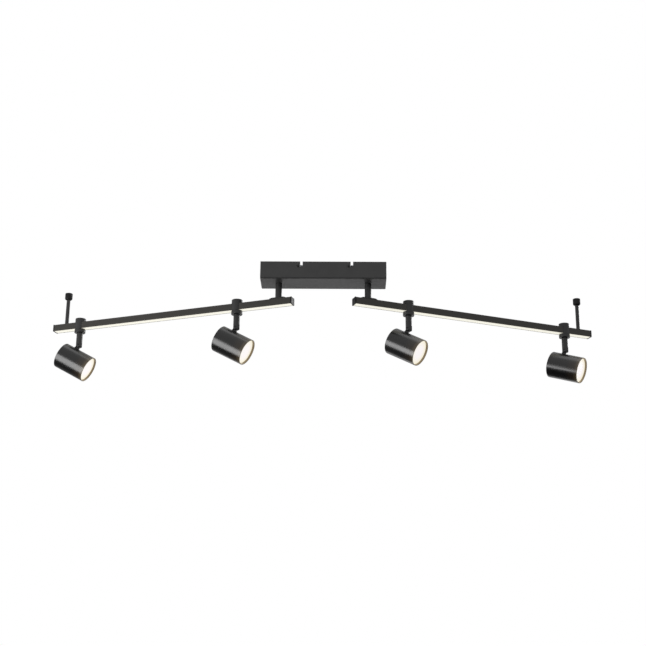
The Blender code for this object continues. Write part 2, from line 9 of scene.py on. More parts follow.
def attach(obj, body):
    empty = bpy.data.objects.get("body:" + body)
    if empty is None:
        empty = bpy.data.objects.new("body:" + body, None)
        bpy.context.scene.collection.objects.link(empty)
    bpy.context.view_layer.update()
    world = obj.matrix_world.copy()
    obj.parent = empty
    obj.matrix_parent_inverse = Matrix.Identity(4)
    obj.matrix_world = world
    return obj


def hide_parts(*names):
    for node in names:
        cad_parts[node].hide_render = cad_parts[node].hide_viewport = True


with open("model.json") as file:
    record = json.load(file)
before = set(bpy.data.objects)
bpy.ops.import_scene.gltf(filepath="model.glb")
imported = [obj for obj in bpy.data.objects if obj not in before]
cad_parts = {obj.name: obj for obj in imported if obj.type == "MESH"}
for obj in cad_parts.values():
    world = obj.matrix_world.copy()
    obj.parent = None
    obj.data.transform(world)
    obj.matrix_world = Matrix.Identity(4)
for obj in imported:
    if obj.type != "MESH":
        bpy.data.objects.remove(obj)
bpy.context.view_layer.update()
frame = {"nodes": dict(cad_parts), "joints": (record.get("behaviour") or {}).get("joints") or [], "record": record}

NODES = frame["nodes"]
RECORD = frame["record"]
JOINTS = {joint["name"]: joint for joint in frame["joints"]}
BODY_OF = {node: body for body, members in RECORD["behaviour"]["bodies"].items() for node in members}

MM = 0.001
UP = Vector((0, 0, 1))
SIDES = {"left": -1, "right": 1}
HEADS = ("left_outer", "left_inner", "right_inner", "right_outer")


# ---------------------------------------------------------------- camera and light

CAMERA_PLACE = (0.0379, -2.4137, -0.9441)
CAMERA_YAW = -0.90  # degrees from +Y towards +X
CAMERA_PITCH = 18.88  # degrees upwards
CAMERA_ROLL = 0.56  # degrees
CAMERA_LENS = 71.97  # millimetres, as is the sensor's width
SENSOR_WIDTH = 36
FLOOR_Z = -2.75
FLOOR_REACH = 60


def make_camera():
    yaw = math.radians(CAMERA_YAW)
    pitch = math.radians(CAMERA_PITCH)
    roll = math.radians(CAMERA_ROLL)
    ahead = Vector((math.sin(yaw) * math.cos(pitch), math.cos(yaw) * math.cos(pitch), math.sin(pitch)))
    level = Vector((math.cos(yaw), -math.sin(yaw), 0))
    upright = level.cross(ahead)
    right = level * math.cos(roll) + upright * math.sin(roll)
    above = upright * math.cos(roll) - level * math.sin(roll)
    camera = bpy.data.objects.new("camera", bpy.data.cameras.new("camera"))
    bpy.context.scene.collection.objects.link(camera)
    camera.matrix_world = placed(CAMERA_PLACE, right, above, -ahead)
    camera.data.sensor_width = SENSOR_WIDTH
    camera.data.lens = CAMERA_LENS
    camera.data.clip_end = 2 * FLOOR_REACH
    bpy.context.scene.camera = camera


def placed(origin, x, y, z):
    """A frame from its origin and its three directions."""
    matrix = Matrix((x, y, z)).transposed().to_4x4()
    matrix.translation = Vector(origin)
    return matrix


def area_light(name, place, target, size, power):
    data = bpy.data.lights.new(name, "AREA")
    data.shape = "RECTANGLE"
    data.size, data.size_y = size
    data.energy = power
    light = bpy.data.objects.new(name, data)
    bpy.context.scene.collection.objects.link(light)
    light.location = place
    light.rotation_euler = (Vector(target) - Vector(place)).to_track_quat("-Z", "Y").to_euler()
    light.visible_camera = False


def make_light():
    """Five soft boxes and a surround that is plain white to the camera and shades of grey to everything else.

    The left box's reflection draws the bright band along each head.
    """
    area_light("left_box", (-1.05, -0.45, -0.51), (-0.1, 0, -0.17), (0.65, 0.75), 7)
    area_light("low_fill", (0.6, 0.60, -1.30), (0.1, 0, -0.05), (0.8, 0.6), 4)
    area_light("back_box", (0, 2.2, -0.85), (0, 0, -0.05), (2.4, 0.7), 4)
    area_light("right_back_box", (1.5, 1.5, 0.5), (0, 0, -0.1), (0.9, 0.9), 14)
    area_light("top_box", (0, 0.1, 1.2), (0, 0, 0), (2.4, 0.8), 4)
    world = bpy.data.worlds.new("studio")
    bpy.context.scene.world = world
    world.use_nodes = True
    tree = world.node_tree
    tree.nodes.clear()
    paths = tree.nodes.new("ShaderNodeLightPath")
    where = tree.nodes.new("ShaderNodeTexCoord")
    split = tree.nodes.new("ShaderNodeSeparateXYZ")
    ramp = tree.nodes.new("ShaderNodeValToRGB")
    height = tree.nodes.new("ShaderNodeMapRange")
    height.inputs["From Min"].default_value = -1
    surround = tree.nodes.new("ShaderNodeBackground")
    shown = tree.nodes.new("ShaderNodeBackground")
    shown.inputs["Color"].default_value = (1, 1, 1, 1)
    mix = tree.nodes.new("ShaderNodeMixShader")
    out = tree.nodes.new("ShaderNodeOutputWorld")
    stops = ((0.0, 0.02), (0.18, 0.04), (0.36, 0.28), (0.5, 0.48), (1.0, 0.60))
    while len(ramp.color_ramp.elements) < len(stops):
        ramp.color_ramp.elements.new(0.5)
    for element, (position, level) in zip(ramp.color_ramp.elements, stops):
        element.position = position
        element.color = (level, level, level, 1)
    link = tree.links.new
    link(where.outputs["Generated"], split.inputs[0])
    link(split.outputs["Z"], height.inputs["Value"])
    link(height.outputs[0], ramp.inputs["Fac"])
    link(ramp.outputs["Color"], surround.inputs["Color"])
    link(paths.outputs["Is Camera Ray"], mix.inputs["Fac"])
    link(surround.outputs[0], mix.inputs[1])
    link(shown.outputs[0], mix.inputs[2])
    link(mix.outputs[0], out.inputs["Surface"])
    bpy.context.scene.view_settings.view_transform = "Standard"


def make_floor():
    """A plain floor that lights nothing and that no piece reflects, so it only fills the views from above."""
    shape = bmesh.new()
    bmesh.ops.create_grid(shape, x_segments=1, y_segments=1, size=FLOOR_REACH)
    floor = new_object("floor", shape, Matrix.Translation((0, 0, FLOOR_Z)))
    floor.data.materials.append(plain_stage("pale_floor", (0.92, 0.92, 0.91)))
    floor.visible_glossy = False
    floor.visible_diffuse = False


def plain_stage(name, colour):
    """A matt material that glows a little, so that the floor stays pale without a light of its own."""
    made = bpy.data.materials.new(name)
    made.use_nodes = True
    shader = made.node_tree.nodes["Principled BSDF"]
    shader.inputs["Base Color"].default_value = (*colour, 1)
    shader.inputs["Roughness"].default_value = 0.9
    shader.inputs["Specular IOR Level"].default_value = 0.1
    shader.inputs["Emission Color"].default_value = (*colour, 1)
    shader.inputs["Emission Strength"].default_value = 0.52
    return made


# ---------------------------------------------------------------- materials


class Shading:
    """A node material, built step by step around one Principled shader."""

    def __init__(self, name, roughness, metallic=0.0, specular=0.5):
        self.material = bpy.data.materials.new(name)
        self.material.use_nodes = True
        self.tree = self.material.node_tree
        self.shader = self.tree.nodes["Principled BSDF"]
        self.shader.inputs["Metallic"].default_value = metallic
        self.shader.inputs["Roughness"].default_value = roughness
        self.shader.inputs["Specular IOR Level"].default_value = specular
        self.where = self.node("TexCoord").outputs["Object"]

    def node(self, kind, **values):
        made = self.tree.nodes.new("ShaderNode" + kind)
        for key, value in values.items():
            setattr(made, key, value)
        return made

    def link(self, source, target):
        self.tree.links.new(source, target)

    def stretched(self, stretch):
        mapping = self.node("Mapping")
        mapping.inputs["Scale"].default_value = stretch
        self.link(self.where, mapping.inputs["Vector"])
        return mapping.outputs["Vector"]

    def noise(self, size, detail, stretch=(1, 1, 1)):
        """Noise whose grains are size metres across."""
        made = self.node("TexNoise")
        made.inputs["Scale"].default_value = 1 / size
        made.inputs["Detail"].default_value = detail
        self.link(self.stretched(stretch), made.inputs["Vector"])
        return made.outputs["Fac"]

    def spread(self, value, low, high, start=0.3, end=0.7):
        """Maps a value between start and end onto low to high."""
        made = self.node("MapRange")
        for key, number in (("From Min", start), ("From Max", end), ("To Min", low), ("To Max", high)):
            made.inputs[key].default_value = number
        self.link(value, made.inputs["Value"])
        return made.outputs[0]

    def colours(self, value, stops):
        """A colour ramp over a 0 to 1 value."""
        ramp = self.node("ValToRGB")
        elements = ramp.color_ramp.elements
        while len(elements) < len(stops):
            elements.new(0.5)
        for element, (position, colour) in zip(elements, stops):
            element.position = position
            element.color = (*colour, 1)
        self.link(value, ramp.inputs["Fac"])
        return ramp.outputs["Color"]

    def colour(self, source):
        self.link(source, self.shader.inputs["Base Color"])

    def roughness(self, source):
        self.link(source, self.shader.inputs["Roughness"])

    def bump(self, height, depth):
        """Relief of depth metres."""
        made = self.node("Bump")
        made.inputs["Strength"].default_value = 1.0
        made.inputs["Distance"].default_value = depth
        self.link(height, made.inputs["Height"])
        self.link(made.outputs["Normal"], self.shader.inputs["Normal"])


def grey(level):
    return (level, level, level)


def powder_coat(name, level, roughness):
    """Satin powder coat: fine orange peel and a faint cloudiness."""
    s = Shading(name, roughness)
    clouds = ((0.3, grey(level * 0.92)), (0.7, grey(level * 1.08)))
    s.colour(s.colours(s.noise(18 * MM, 3), clouds))
    s.roughness(s.spread(s.noise(6 * MM, 2), roughness - 0.03, roughness + 0.04))
    s.bump(s.noise(0.45 * MM, 2), 0.0035 * MM)
    return s.material


HEAD_BLACK = (0.0045, 0.0045, 0.0045)
HEAD_PAINTED_GLOW = (0.024, 0.016, 0.009)
HEAD_RIM_PAINTED_GLOW = (0.105, 0.078, 0.044)
HEAD_INSIDE_PAINTED_GLOW = (0.32, 0.235, 0.125)
PAINTED_GLOW_LENGTH = 26 * MM  # of the painted warm glow towards the rim
MOUTH_DEPTH = 12 * MM


def head_coat(name, axis_z, rim_x, inner):
    """The heads' smoother black, with a painted warm glow towards the rim and a painted bronze glow on the inside
    wall, both standing in for light from the lit disc.
    """
    s = Shading(name, 0.24, specular=0.8)
    split = s.node("SeparateXYZ")
    s.link(s.where, split.inputs[0])
    # painted glow: the coat turns warm towards the rim, standing in for light spilling from the lit disc
    near_rim = s.spread(split.outputs["X"], 0.0, 1.0, rim_x - PAINTED_GLOW_LENGTH, rim_x)
    outside_with_painted_glow = s.colours(near_rim, ((0.0, HEAD_BLACK), (0.7, HEAD_PAINTED_GLOW), (1.0, HEAD_RIM_PAINTED_GLOW)))
    from_axis = s.node("VectorMath", operation="SUBTRACT")
    from_axis.inputs[1].default_value = (0, 0, axis_z)
    s.link(s.where, from_axis.inputs[0])
    across = s.node("VectorMath", operation="MULTIPLY")
    across.inputs[1].default_value = (0, 1, 1)
    s.link(from_axis.outputs[0], across.inputs[0])
    away = s.node("VectorMath", operation="LENGTH")
    s.link(across.outputs[0], away.inputs[0])
    # painted glow: the inside wall of the mouth turns bronze, standing in for light from the lit disc falling on
    # the wall
    inside = s.spread(away.outputs["Value"], 1.0, 0.0, inner + 0.2 * MM, inner + 0.9 * MM)
    in_mouth = s.spread(split.outputs["X"], 0.0, 1.0, rim_x - MOUTH_DEPTH, rim_x - MOUTH_DEPTH + 2 * MM)
    both = s.node("Math", operation="MULTIPLY")
    s.link(inside, both.inputs[0])
    s.link(in_mouth, both.inputs[1])
    painted_inner_glow = s.node("MixRGB")
    painted_inner_glow.inputs["Color2"].default_value = (*HEAD_INSIDE_PAINTED_GLOW, 1)
    s.link(outside_with_painted_glow, painted_inner_glow.inputs["Color1"])
    s.link(both.outputs[0], painted_inner_glow.inputs["Fac"])
    s.colour(painted_inner_glow.outputs["Color"])
    s.roughness(s.spread(s.noise(7 * MM, 2), 0.22, 0.27))
    s.bump(s.noise(0.6 * MM, 2), 0.0006 * MM)
    return s.material


def anodised(name):
    """A drawn and anodised profile: fine die lines along its length."""
    s = Shading(name, 0.36, metallic=0.35)
    lines = s.noise(0.5 * MM, 3, stretch=(0.004, 1, 1))
    s.colour(s.colours(lines, ((0.3, (0.047, 0.045, 0.041)), (0.7, (0.065, 0.061, 0.055)))))
    s.roughness(s.spread(lines, 0.33, 0.42))
    s.bump(lines, 0.004 * MM)
    return s.material


def moulded(name, level, roughness, tint=(1, 1, 1), specular=0.5):
    """Moulded plastic with a fine spark-eroded grain."""
    s = Shading(name, roughness, specular=specular)
    low = tuple(level * 0.94 * part for part in tint)
    high = tuple(min(1, level * 1.04) * part for part in tint)
    s.colour(s.colours(s.noise(9 * MM, 2), ((0.3, low), (0.7, high))))
    s.roughness(s.spread(s.noise(2 * MM, 2), roughness - 0.05, roughness + 0.06))
    s.bump(s.noise(0.25 * MM, 3), 0.006 * MM)
    return s.material


def zinc(name):
    """Zinc plating, with a faint spangle and rolling lines."""
    s = Shading(name, 0.32, metallic=1.0)
    cells = s.node("TexVoronoi")
    cells.inputs["Scale"].default_value = 1 / (3.5 * MM)
    s.link(s.where, cells.inputs["Vector"])
    s.colour(s.colours(cells.outputs["Color"], ((0.2, (0.56, 0.57, 0.60)), (0.8, (0.68, 0.69, 0.71)))))
    s.roughness(s.spread(s.noise(1.2 * MM, 3, stretch=(0.1, 1, 1)), 0.26, 0.42))
    s.bump(s.noise(0.6 * MM, 2, stretch=(0.1, 1, 1)), 0.003 * MM)
    return s.material


def bare_metal(name, colour, roughness):
    """Turned or drawn metal with fine tool lines and a little tarnish."""
    s = Shading(name, roughness, metallic=1.0)
    dark = tuple(part * 0.80 for part in colour)
    s.colour(s.colours(s.noise(5 * MM, 3), ((0.3, dark), (0.65, colour))))
    s.roughness(s.spread(s.noise(1 * MM, 3), roughness - 0.06, roughness + 0.10))
    s.bump(s.noise(0.3 * MM, 2), 0.002 * MM)
    return s.material


def opal(name, strength, centre, edge, measure, start, end):
    """A lit opal sheet. measure picks the coordinates whose distance from the middle sets the colour."""
    s = Shading(name, 0.35)
    s.colour(s.colours(s.noise(3 * MM, 2), ((0.3, (0.28, 0.275, 0.26)), (0.7, (0.31, 0.305, 0.29)))))
    away = s.node("VectorMath", operation="LENGTH")
    s.link(s.stretched(measure), away.inputs[0])
    outwards = s.spread(away.outputs["Value"], 0.0, 1.0, start, end)
    s.link(s.colours(outwards, ((0.0, centre), (1.0, edge))), s.shader.inputs["Emission Color"])
    s.shader.inputs["Emission Strength"].default_value = strength
    s.bump(s.noise(0.4 * MM, 2), 0.002 * MM)
    return s.material


def circuit(name):
    """A white solder mask with fine copper tracks showing through."""
    s = Shading(name, 0.4)
    lines = s.noise(1.5 * MM, 1, stretch=(0.08, 1, 1))
    s.colour(s.colours(lines, ((0.42, (0.80, 0.80, 0.77)), (0.50, (0.88, 0.88, 0.85)))))
    s.bump(lines, 0.02 * MM)
    return s.material


# ---------------------------------------------------------------- mesh building

SAME_POINT = 1e-6
ON_AXIS = 1e-7
CLEAR = 1 * MM  # how far a cutter runs past the face that it cuts
FAR = 1.0  # a cutter that takes everything on one side


def new_object(name, shape, matrix):
    bmesh.ops.recalc_face_normals(shape, faces=shape.faces)
    mesh = bpy.data.meshes.new(name)
    shape.to_mesh(mesh)
    shape.free()
    made = bpy.data.objects.new(name, mesh)
    bpy.context.scene.collection.objects.link(made)
    made.matrix_world = matrix
    return made


def bake(target):
    """Replaces an object's mesh with the one that its modifiers make."""
    seen = target.evaluated_get(bpy.context.evaluated_depsgraph_get())
    mesh = bpy.data.meshes.new_from_object(seen)
    target.modifiers.clear()
    target.data = mesh


def combine(target, shape, operation="DIFFERENCE", place=None):
    """Cuts a shape from the target, or joins it on. The shape is in the target's own frame."""
    helper = new_object("helper", shape, target.matrix_world @ (place or Matrix()))
    modifier = target.modifiers.new("combine", "BOOLEAN")
    modifier.operation = operation
    modifier.object = helper
    bpy.context.view_layer.update()
    bake(target)
    bpy.data.objects.remove(helper)


def soften(target, width, segments=2, angle=35):
    """Rounds the edges that turn more than angle degrees, and shades the rest smooth."""
    target.data = whole_faces(target.data)
    modifier = target.modifiers.new("rounding", "BEVEL")
    modifier.width = width
    modifier.segments = segments
    modifier.limit_method = "ANGLE"
    modifier.angle_limit = math.radians(angle)
    modifier.harden_normals = True
    bake(target)
    smooth(target)


def whole_faces(mesh):
    """A copy of a mesh with flat neighbours joined and only its shape kept."""
    shape = bmesh.new()
    shape.from_mesh(mesh)
    bmesh.ops.remove_doubles(shape, verts=shape.verts, dist=SAME_POINT)
    flat = math.radians(0.5)
    bmesh.ops.dissolve_limit(shape, angle_limit=flat, verts=shape.verts, edges=shape.edges)
    shape.verts.index_update()
    corners = [tuple(vertex.co) for vertex in shape.verts]
    faces = [[vertex.index for vertex in face.verts] for face in shape.faces]
    shape.free()
    made = bpy.data.meshes.new(mesh.name)
    made.from_pydata(corners, [], faces)
    return made


def smooth(target, angle=32):
    """Shades a piece smooth below an angle, with its larger faces left flat."""
    target.data.shade_smooth()
    target.data.set_sharp_from_angle(angle=math.radians(angle))
    if not target.modifiers:
        modifier = target.modifiers.new("flat_faces", "WEIGHTED_NORMAL")
        modifier.keep_sharp = True


def rounded(points, radius, steps=4, closed=False):
    """A path with its corners rounded. A point with a third value has that radius of its own."""
    path = []
    last = len(points) - 1
    for i, point in enumerate(points):
        corner = Vector(point[:2])
        own = point[2] if len(point) > 2 else radius
        if own == 0 or (not closed and i in (0, last)):
            path.append(tuple(corner))
            continue
        before = Vector(points[i - 1][:2]) - corner
        after = Vector(points[(i + 1) % len(points)][:2]) - corner
        reach = min(own, before.length * 0.48, after.length * 0.48)
        start = corner + before.normalized() * reach
        end = corner + after.normalized() * reach
        for k in range(steps + 1):
            t = k / steps
            path.append(tuple(start * (1 - t) ** 2 + corner * 2 * t * (1 - t) + end * t**2))
    return path


def turned(profile, segments=96, axis="Z", ripple=None):
    """A profile of (radius, height) turned about an axis. ripple(radius, height, angle) moves a radius."""
    shape = bmesh.new()
    rings = []
    for radius, height in profile:
        if radius < ON_AXIS:
            rings.append([shape.verts.new((0, 0, height))])
            continue
        ring = []
        for i in range(segments):
            angle = math.tau * i / segments
            r = ripple(radius, height, angle) if ripple else radius
            ring.append(shape.verts.new((r * math.cos(angle), r * math.sin(angle), height)))
        rings.append(ring)
    pairs = list(zip(rings, rings[1:]))
    if len(rings[0]) > 1:
        pairs.append((rings[-1], rings[0]))
    for low, high in pairs:
        for i in range(segments):
            j = (i + 1) % segments
            corners = [low[i % len(low)], low[j % len(low)], high[j % len(high)], high[i % len(high)]]
            shape.faces.new(list(dict.fromkeys(corners)))
    if axis != "Z":
        turn = Matrix.Rotation(math.pi / 2, 3, "Y") if axis == "X" else Matrix.Rotation(-math.pi / 2, 3, "X")
        bmesh.ops.rotate(shape, verts=shape.verts, matrix=turn)
    return shape


def drum(radius, start, end, segments=64, axis="Z"):
    return turned([(0, start), (radius, start), (radius, end), (0, end)], segments, axis)


def extruded(outline, start, end, plane="XY"):
    """A closed outline in one plane, extruded along the plane's normal from start to end."""
    place = {
        "XY": lambda a, b, h: (a, b, h),
        "XZ": lambda a, b, h: (a, h, b),
        "YZ": lambda a, b, h: (h, a, b),
    }[plane]
    shape = bmesh.new()
    face = shape.faces.new([shape.verts.new(place(a, b, start)) for a, b in outline])
    moved = bmesh.ops.extrude_face_region(shape, geom=[face])["geom"]
    step = Vector(place(0, 0, end - start))
    bmesh.ops.translate(shape, vec=step, verts=[v for v in moved if isinstance(v, bmesh.types.BMVert)])
    return shape


def block(low, high):
    low, high = Vector(low), Vector(high)
    shape = bmesh.new()
    bmesh.ops.create_cube(shape, size=1)
    bmesh.ops.scale(shape, vec=high - low, verts=shape.verts)
    bmesh.ops.translate(shape, vec=(low + high) / 2, verts=shape.verts)
    return shape


def arc(centre, radius, start, end, steps):
    angles = (math.radians(start + (end - start) * i / steps) for i in range(steps + 1))
    return [(centre[0] + radius * math.cos(a), centre[1] + radius * math.sin(a)) for a in angles]


# ---------------------------------------------------------------- places, all from the frame


def extent(node, matrix=Matrix()):
    """A CAD node's lowest and highest corners, measured in the given frame."""
    back = matrix.inverted()
    points = [back @ vertex.co for vertex in NODES[node].data.vertices]
    low = Vector(min(point[i] for point in points) for i in range(3))
    high = Vector(max(point[i] for point in points) for i in range(3))
    return low, high


def arm_frame(side):
    """The arm's frame: origin on the swivel axis in the ceiling plane, +X outwards along the bar."""
    pivot = Vector(JOINTS[f"arm_swivel_{side}"]["pos_m"])
    out = Vector(JOINTS[f"slide_{side}_outer"]["axis"]).normalized()
    return placed((pivot.x, pivot.y, 0), out, UP.cross(out), UP)


def clamp_frame(head):
    """The clamp's frame: origin on the pan axis in the ceiling plane, +X along the bar."""
    place = Vector(JOINTS[f"pan_{head}"]["pos_m"])
    out = Vector(JOINTS[f"slide_{head}"]["axis"]).normalized()
    return placed((place.x, place.y, 0), out, UP.cross(out), UP)


def pan_frame(head):
    """The pan stem's frame: origin on the tilt pin, +X the way that the head points, +Z up."""
    pin = JOINTS[f"tilt_{head}"]
    across = Vector(pin["axis"]).normalized()
    return placed(pin["pos_m"], across.cross(UP), across, UP)


def head_frame(head):
    """The head's frame: origin on the tilt pin, +X along the beam."""
    tilt = math.radians(-JOINTS[f"tilt_{head}"]["range_deg"][0])
    return pan_frame(head) @ Matrix.Rotation(tilt, 4, "Y")


def finish_piece(piece, node, material):
    """Gives a piece its material and body, and hides the CAD node that it stands for."""
    piece.data.materials.clear()
    piece.data.materials.append(material)
    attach(piece, BODY_OF[node])
    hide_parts(node)
    return piece


def refined(name, node, width, material, segments=2):
    """A CAD node's own shape with its edges rounded."""
    piece = bpy.data.objects.new(name, whole_faces(NODES[node].data))
    bpy.context.scene.collection.objects.link(piece)
    soften(piece, width, segments)
    return finish_piece(piece, node, material)


# ---------------------------------------------------------------- canopy

GAP = 0.3 * MM  # the CAD solids' clearance
COVER_SHEET = 1.2 * MM
COVER_CORNER = 1.3 * MM
SEAM_WIDTH = 1.0 * MM
SEAM_DEPTH = 0.7 * MM
SLOT_WIDTH = 4.8 * MM
SLOT_ENTRY_OFFSET = 6.5 * MM
SPIGOT_RADIUS = 4.8 * MM
LEAD_RADIUS = 1.5 * MM
LID_SHARE = 0.62  # of the driver case's height
LID_GROOVE = 0.35 * MM
TERMINAL_COVER = 24 * MM
RIBS = 5
RIB_INSET = 4 * MM
DRIVER_SCREW_INSET = 5 * MM
SCREW_SEAT_RADIUS = 2.6 * MM
SCREW_SEAT_DEPTH = 1.2 * MM
RIB_PITCH = 1.8 * MM
RIB_WIDTH = 0.8 * MM
RIB_REACH = 9 * MM


def make_cover(paint):
    """The folded box, with a bayonet slot over each set screw and a hole for each stem."""
    low, high = extent("canopy_cover")
    above = 6 * MM
    shape = block(low, high + Vector((0, 0, above)))
    bmesh.ops.bevel(shape, geom=shape.edges[:], offset=COVER_CORNER, segments=4, profile=0.5, affect="EDGES")
    cover = new_object("cover_shell", shape, Matrix())
    inside_low = low + Vector((COVER_SHEET,) * 3)
    inside_high = Vector((high.x - COVER_SHEET, high.y - COVER_SHEET, high.z + above))
    combine(cover, block(inside_low, inside_high))
    combine(cover, block((low.x - FAR, low.y - FAR, high.z), (high.x + FAR, high.y + FAR, high.z + FAR)))
    for side in SIDES:
        screw = extent(f"cover_screw_front_{side}")
        x = (screw[0].x + screw[1].x) / 2
        z = (screw[0].z + screw[1].z) / 2
        combine(cover, bayonet_slot(x, z, high))
        pivot = arm_frame(side).translation
        hole = drum(SPIGOT_RADIUS + GAP, low.z - COVER_SHEET, low.z + 2 * COVER_SHEET)
        combine(cover, hole, place=Matrix.Translation((pivot.x, pivot.y, 0)))
    cut_seam(cover, low, high)
    soften(cover, 0.15 * MM, 1, 60)
    finish_piece(cover, "canopy_cover", paint)


def cut_seam(cover, low, high):
    """A fine shadow line round the foot of the walls, just above the rounded edge."""
    bottom = low.z + COVER_CORNER
    for axis in (0, 1):
        for edge, out in ((low[axis], -1), (high[axis], 1)):
            start = Vector((low.x - CLEAR, low.y - CLEAR, bottom))
            end = Vector((high.x + CLEAR, high.y + CLEAR, bottom + SEAM_WIDTH))
            start[axis], end[axis] = sorted((edge - out * SEAM_DEPTH, edge + out * CLEAR))
            combine(cover, block(start, end))


def bayonet_slot(x, z, top):
    """A slot that drops from the top edge and turns towards the screw, through both long walls."""
    half = SLOT_WIDTH / 2
    entry = x + SLOT_ENTRY_OFFSET
    above = top.z + 2 * MM
    outline = [(entry - half, above), (entry - half, z + half)]
    outline += arc((x, z), half, 90, 270, 16)
    outline += arc((entry, z), half, 270, 360, 8)
    outline += [(entry + half, above)]
    return extruded(outline, -2 * top.y, 2 * top.y, "XZ")


def make_cover_screw(name, paint):
    """A slotted screw with a slightly domed head."""
    node = f"cover_screw_{name}"
    low, high = extent(node)
    towards = -1 if "front" in name else 1
    radius = (high.x - low.x) / 2
    length = high.y - low.y
    shank = 1.8 * MM
    head = 1.8 * MM
    pitch = 0.7 * MM
    thread = 0.3 * MM
    profile = [(0, length), (radius * 0.55, length - 0.08 * MM), (radius * 0.86, length - 0.35 * MM)]
    profile += [(radius, length - 0.75 * MM), (radius, length - head), (shank, length - head)]
    height = length - head - pitch
    while height > pitch:
        profile += [(shank, height), (shank - thread, height - pitch / 2)]
        height -= pitch
    profile += [(shank - thread, 0.5 * MM), (shank * 0.7, 0), (0, 0)]
    middle = (low + high) / 2
    foot = Vector((middle.x, high.y if towards < 0 else low.y, middle.z))
    out = Vector((0, towards, 0))
    matrix = placed(foot, Vector((1, 0, 0)), out.cross(Vector((1, 0, 0))), out)
    screw = new_object(f"slotted_screw_{name}", turned(profile, 48), matrix)
    half = 0.4 * MM
    drive = block((-2 * radius, -half, length - 0.8 * MM), (2 * radius, half, length + CLEAR))
    turn = 0.4 if "left" in name else 1.1
    combine(screw, drive, place=Matrix.Rotation(turn, 4, "Z"))
    smooth(screw)
    finish_piece(screw, node, paint)


def make_driver(plastic, metal):
    """The case with its lid line, the grip ribs of its terminal covers, and their four screws."""
    low, high = extent("led_driver")
    driver = refined("driver_case", "led_driver", 0.7 * MM, plastic, 3)
    driver.data = whole_faces(driver.data)
    lid = low.z + (high.z - low.z) * LID_SHARE
    outer = block((low.x - CLEAR, low.y - CLEAR, lid), (high.x + CLEAR, high.y + CLEAR, lid + LID_GROOVE))
    combine(driver, outer)
    core_low = (low.x + LID_GROOVE, low.y + LID_GROOVE, lid - 0.5 * MM)
    core_high = (high.x - LID_GROOVE, high.y - LID_GROOVE, lid + CLEAR)
    combine(driver, block(core_low, core_high), "UNION")
    heads = bmesh.new()
    half = RIB_WIDTH / 2
    for end in (-1, 1):
        edge = high.x if end > 0 else low.x
        for rib in range(RIBS):
            x = edge - end * (TERMINAL_COVER - RIB_INSET - rib * RIB_PITCH)
            cut_low = (x - half, -RIB_REACH, high.z - 0.5 * MM)
            combine(driver, block(cut_low, (x + half, RIB_REACH, high.z + CLEAR)))
        for y in (low.y + DRIVER_SCREW_INSET, high.y - DRIVER_SCREW_INSET):
            place = Vector((edge - end * TERMINAL_COVER / 2, y, high.z - SCREW_SEAT_DEPTH))
            seat = drum(SCREW_SEAT_RADIUS, 0, 3 * MM, 40)
            combine(driver, seat, place=Matrix.Translation(place))
            above_seat = Vector((0, 0, 0.02 * MM))
            add_screw_head(heads, place + above_seat, radius=2.3 * MM, height=1.0 * MM)
    smooth(driver)
    driver.data.materials.clear()
    driver.data.materials.append(plastic)
    screws = new_object("driver_screws", heads, Matrix())
    smooth(screws)
    finish_piece(screws, "led_driver", metal)


def add_screw_head(shape, place, radius, height):
    """Adds a slotted head to a bmesh: a round base, and a closed half disc on each side of the slot."""
    half = 0.35 * MM
    depth = height * 0.5
    steps = 16
    for sign in (-1, 1):
        start = math.asin(half / radius)
        edge = arc((0, 0), radius, math.degrees(start), 180 - math.degrees(start), steps)
        outline = [(a, sign * b) for a, b in edge]
        part = extruded(outline, height - depth, height)
        add_shape(shape, part, place)
    add_shape(shape, drum(radius, 0, height - depth, 32), place)


def add_shape(shape, other, place):
    mesh = bpy.data.meshes.new("part")
    bmesh.ops.recalc_face_normals(other, faces=other.faces)
    bmesh.ops.translate(other, vec=place, verts=other.verts)
    other.to_mesh(mesh)
    other.free()
    shape.from_mesh(mesh)
    bpy.data.meshes.remove(mesh)


def make_terminal_block(plastic, metal):
    """The three-way mains block, with a clamping screw in each way."""
    node = "terminal_block"
    refined("mains_block", node, 0.25 * MM, plastic)
    low, high = extent(node)
    ways = 3
    pitch = (high.y - low.y) / ways
    heads = bmesh.new()
    for way in range(ways):
        place = Vector((low.x + 6 * MM, low.y + (way + 0.5) * pitch, high.z - 2.9 * MM))
        add_screw_head(heads, place, radius=1.9 * MM, height=1.6 * MM)
    screws = new_object("mains_block_screws", heads, Matrix())
    smooth(screws)
    finish_piece(screws, node, metal)


def make_lead(side, sleeve):
    """The lead from the driver's end, over and down into the stem, as one smooth curve."""
    node = f"driver_lead_{side}"
    sign = SIDES[side]
    driver = extent("led_driver")
    floor = extent("canopy_cover")[0].z + COVER_SHEET
    start = Vector((driver[1 if sign > 0 else 0].x + sign * 0.5 * MM, 13 * MM, floor + 9 * MM))
    pivot = arm_frame(side).translation
    finish = Vector((pivot.x, pivot.y, floor + 1 * MM))
    curve = bpy.data.curves.new(f"lead_{side}", "CURVE")
    curve.dimensions = "3D"
    curve.bevel_depth = LEAD_RADIUS
    curve.bevel_resolution = 6
    curve.resolution_u = 40
    curve.use_fill_caps = True
    spline = curve.splines.new("BEZIER")
    spline.bezier_points.add(1)
    first, last = spline.bezier_points
    first.co = start
    last.co = finish
    first.handle_right = start + Vector(((finish.x - start.x) * 0.55, 0, 0))
    first.handle_left = start * 2 - first.handle_right
    last.handle_left = finish + Vector((0, 0, 26 * MM))
    last.handle_right = finish * 2 - last.handle_left
    lead = bpy.data.objects.new(f"lead_{side}", curve)
    bpy.context.scene.collection.objects.link(lead)
    finish_piece(lead, node, sleeve)


# ---------------------------------------------------------------- arms

BAR_WALL = 1.4 * MM
BAR_CORNER = 0.7 * MM
GROOVE_WIDTH = 7 * MM
GROOVE_DEPTH = 2.2 * MM
CHANNEL_DEPTH = 9.3 * MM
STEM_BORE_RADIUS = 2.6 * MM
STEM_FOOT_RADIUS = 3.9 * MM
FLUTES = 30


